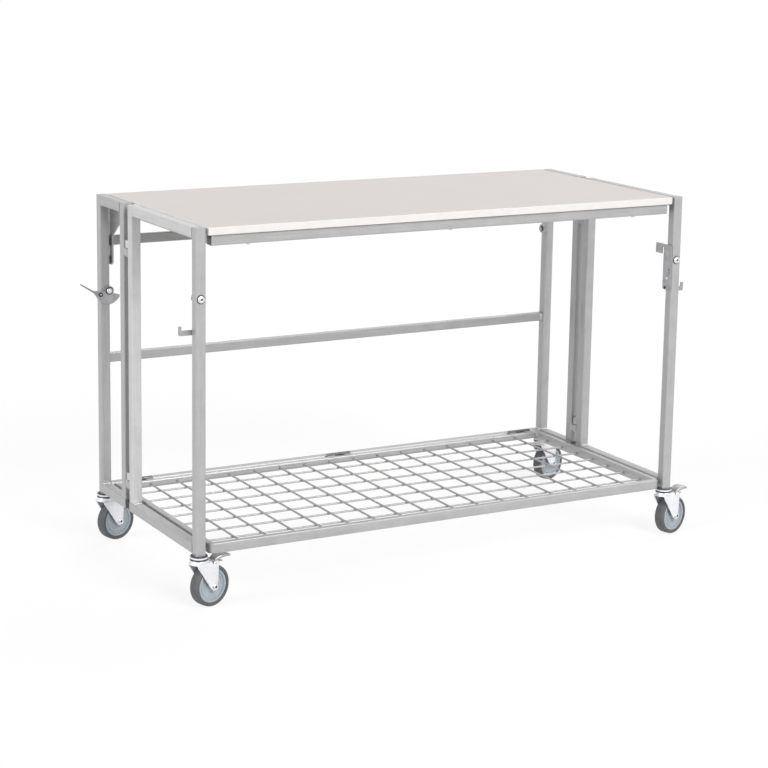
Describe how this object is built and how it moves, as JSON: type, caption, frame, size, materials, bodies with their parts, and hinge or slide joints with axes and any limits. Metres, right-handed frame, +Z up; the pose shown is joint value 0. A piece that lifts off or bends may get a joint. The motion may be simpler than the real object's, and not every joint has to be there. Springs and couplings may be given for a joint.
{
  "type": "folding work table",
  "caption": "Folding work table on swivel casters: laminate top and wire shelf hinged to a rear steel tube frame, with end frames that swing on barrel hinges.",
  "frame": {"origin": "on the floor under the middle of the whole table's box, casters and latch handle included", "axes": "+X along the table to the right seen from the front, -Y to the front, +Z up"},
  "size_m": [1.4846, 0.6476, 0.895],
  "materials": {
    "galvanised_steel": "galvanised, satin grey",
    "zinc_plate": "bright zinc plate",
    "zinc_wire": "zinc-plated welded wire",
    "grey_laminate": "pale grey laminate on board, satin",
    "white_edging": "white edge banding",
    "grey_rubber": "dark grey rubber tread",
    "blue_grey_plastic": "blue-grey moulded hub"
  },
  "bodies": {
    "rear_frame": {"rear_post_left": "galvanised_steel", "rear_post_right": "galvanised_steel", "rear_upper_rail": "galvanised_steel", "rear_mid_rail": "galvanised_steel", "rear_bottom_rail": "galvanised_steel", "wing_top_rail_left": "galvanised_steel", "wing_top_rail_right": "galvanised_steel", "wing_bottom_rail_left": "galvanised_steel", "wing_bottom_rail_right": "galvanised_steel", "hinge_post_left": "galvanised_steel", "hinge_post_right": "galvanised_steel", "tabletop_pivot_left": "zinc_plate", "tabletop_pivot_right": "zinc_plate", "rocker_stud": "zinc_plate", "caster_stem_rear_left": "zinc_plate", "caster_stem_rear_right": "zinc_plate"},
    "left_end_frame": {"end_rear_post_left": "galvanised_steel", "end_front_post_left": "galvanised_steel", "end_top_rail_left": "galvanised_steel", "end_bottom_rail_left": "galvanised_steel", "hook_bolt_left": "zinc_plate", "caster_stem_front_left": "zinc_plate"},
    "right_end_frame": {"end_rear_post_right": "galvanised_steel", "end_front_post_right": "galvanised_steel", "end_top_rail_right": "galvanised_steel", "end_bottom_rail_right": "galvanised_steel", "hook_bolt_right": "zinc_plate", "catch_stud": "zinc_plate", "caster_stem_front_right": "zinc_plate"},
    "tabletop": {"tabletop_board": "grey_laminate", "tabletop_edge_band": "white_edging", "subframe_front_rail": "galvanised_steel", "subframe_rear_rail": "galvanised_steel", "subframe_side_rail_left": "galvanised_steel", "subframe_side_rail_right": "galvanised_steel", "pivot_bracket_left": "zinc_plate", "pivot_bracket_right": "zinc_plate"},
    "shelf": {"shelf_hoop": "galvanised_steel", "shelf_rear_rail": "galvanised_steel", "shelf_wire_grid": "zinc_wire"},
    "rocker": {"rocker_latch": "zinc_plate"},
    "left_hook": {"hook_left": "zinc_plate"},
    "right_hook": {"hook_right": "zinc_plate"},
    "catch": {"catch_lever": "zinc_plate"},
    "swivel_front_left": {"caster_fork_front_left": "zinc_plate"},
    "swivel_front_right": {"caster_fork_front_right": "zinc_plate"},
    "swivel_rear_left": {"caster_fork_rear_left": "zinc_plate"},
    "swivel_rear_right": {"caster_fork_rear_right": "zinc_plate"},
    "wheel_front_left": {"tyre_front_left": "grey_rubber", "hub_front_left": "blue_grey_plastic"},
    "wheel_front_right": {"tyre_front_right": "grey_rubber", "hub_front_right": "blue_grey_plastic"},
    "wheel_rear_left": {"tyre_rear_left": "grey_rubber", "hub_rear_left": "blue_grey_plastic"},
    "wheel_rear_right": {"tyre_rear_right": "grey_rubber", "hub_rear_right": "blue_grey_plastic"},
    "pedal_left": {"brake_pedal_left": "zinc_plate"},
    "pedal_right": {"brake_pedal_right": "zinc_plate"}
  },
  "joints": [
    {"name": "tabletop_fold", "type": "hinge", "parent": "rear_frame", "child": "tabletop", "pos_m": [-0.01278, 0.28915, 0.73], "axis": [1, 0, 0], "range_deg": [0, 75]},
    {"name": "shelf_fold", "type": "hinge", "parent": "rear_frame", "child": "shelf", "pos_m": [-0.01278, 0.27315, 0.158], "axis": [1, 0, 0], "range_deg": [-88, 0]},
    {"name": "left_end_frame_swing", "type": "hinge", "parent": "rear_frame", "child": "left_end_frame", "pos_m": [-0.67528, 0.11065, 0.5], "axis": [0, 0, -1], "range_deg": [0, 90]},
    {"name": "right_end_frame_swing", "type": "hinge", "parent": "rear_frame", "child": "right_end_frame", "pos_m": [0.64972, 0.11065, 0.5], "axis": [0, 0, 1], "range_deg": [0, 90]},
    {"name": "rocker_tilt", "type": "hinge", "parent": "rear_frame", "child": "rocker", "pos_m": [-0.66678, 0.27635, 0.654], "axis": [0, 1, 0], "range_deg": [-20, 20]},
    {"name": "left_hook_swing", "type": "hinge", "parent": "left_end_frame", "child": "left_hook", "pos_m": [-0.67528, -0.28305, 0.7325], "axis": [0, 1, 0], "range_deg": [0, 90]},
    {"name": "right_hook_swing", "type": "hinge", "parent": "right_end_frame", "child": "right_hook", "pos_m": [0.64972, -0.28305, 0.7325], "axis": [0, -1, 0], "range_deg": [0, 90]},
    {"name": "catch_turn", "type": "hinge", "parent": "right_end_frame", "child": "catch", "pos_m": [0.63507, -0.29585, 0.7025], "axis": [1, 0, 0], "range_deg": [0, 90]},
    {"name": "swivel_front_left_turn", "type": "hinge", "parent": "left_end_frame", "child": "swivel_front_left", "pos_m": [-0.67528, -0.29585, 0.112], "axis": [0, 0, 1], "continuous": true},
    {"name": "swivel_front_right_turn", "type": "hinge", "parent": "right_end_frame", "child": "swivel_front_right", "pos_m": [0.64972, -0.29585, 0.112], "axis": [0, 0, 1], "continuous": true},
    {"name": "swivel_rear_left_turn", "type": "hinge", "parent": "rear_frame", "child": "swivel_rear_left", "pos_m": [-0.67528, 0.28915, 0.112], "axis": [0, 0, 1], "continuous": true},
    {"name": "swivel_rear_right_turn", "type": "hinge", "parent": "rear_frame", "child": "swivel_rear_right", "pos_m": [0.64972, 0.28915, 0.112], "axis": [0, 0, 1], "continuous": true},
    {"name": "wheel_front_left_spin", "type": "hinge", "parent": "swivel_front_left", "child": "wheel_front_left", "pos_m": [-0.64452, -0.28703, 0.05], "axis": [-0.2756, 0.9613, 0], "continuous": true},
    {"name": "wheel_front_right_spin", "type": "hinge", "parent": "swivel_front_right", "child": "wheel_front_right", "pos_m": [0.68048, -0.28703, 0.05], "axis": [-0.2756, 0.9613, 0], "continuous": true},
    {"name": "wheel_rear_left_spin", "type": "hinge", "parent": "swivel_rear_left", "child": "wheel_rear_left", "pos_m": [-0.64452, 0.29797, 0.05], "axis": [-0.2756, 0.9613, 0], "continuous": true},
    {"name": "wheel_rear_right_spin", "type": "hinge", "parent": "swivel_rear_right", "child": "wheel_rear_right", "pos_m": [0.68048, 0.29797, 0.05], "axis": [-0.2756, 0.9613, 0], "continuous": true},
    {"name": "pedal_left_press", "type": "hinge", "parent": "swivel_front_left", "child": "pedal_left", "pos_m": [-0.64068, -0.28593, 0.1058], "axis": [-0.2756, 0.9613, 0], "range_deg": [0, 12]},
    {"name": "pedal_right_press", "type": "hinge", "parent": "swivel_front_right", "child": "pedal_right", "pos_m": [0.68432, -0.28593, 0.1058], "axis": [-0.2756, 0.9613, 0], "range_deg": [0, 12]}
  ]
}
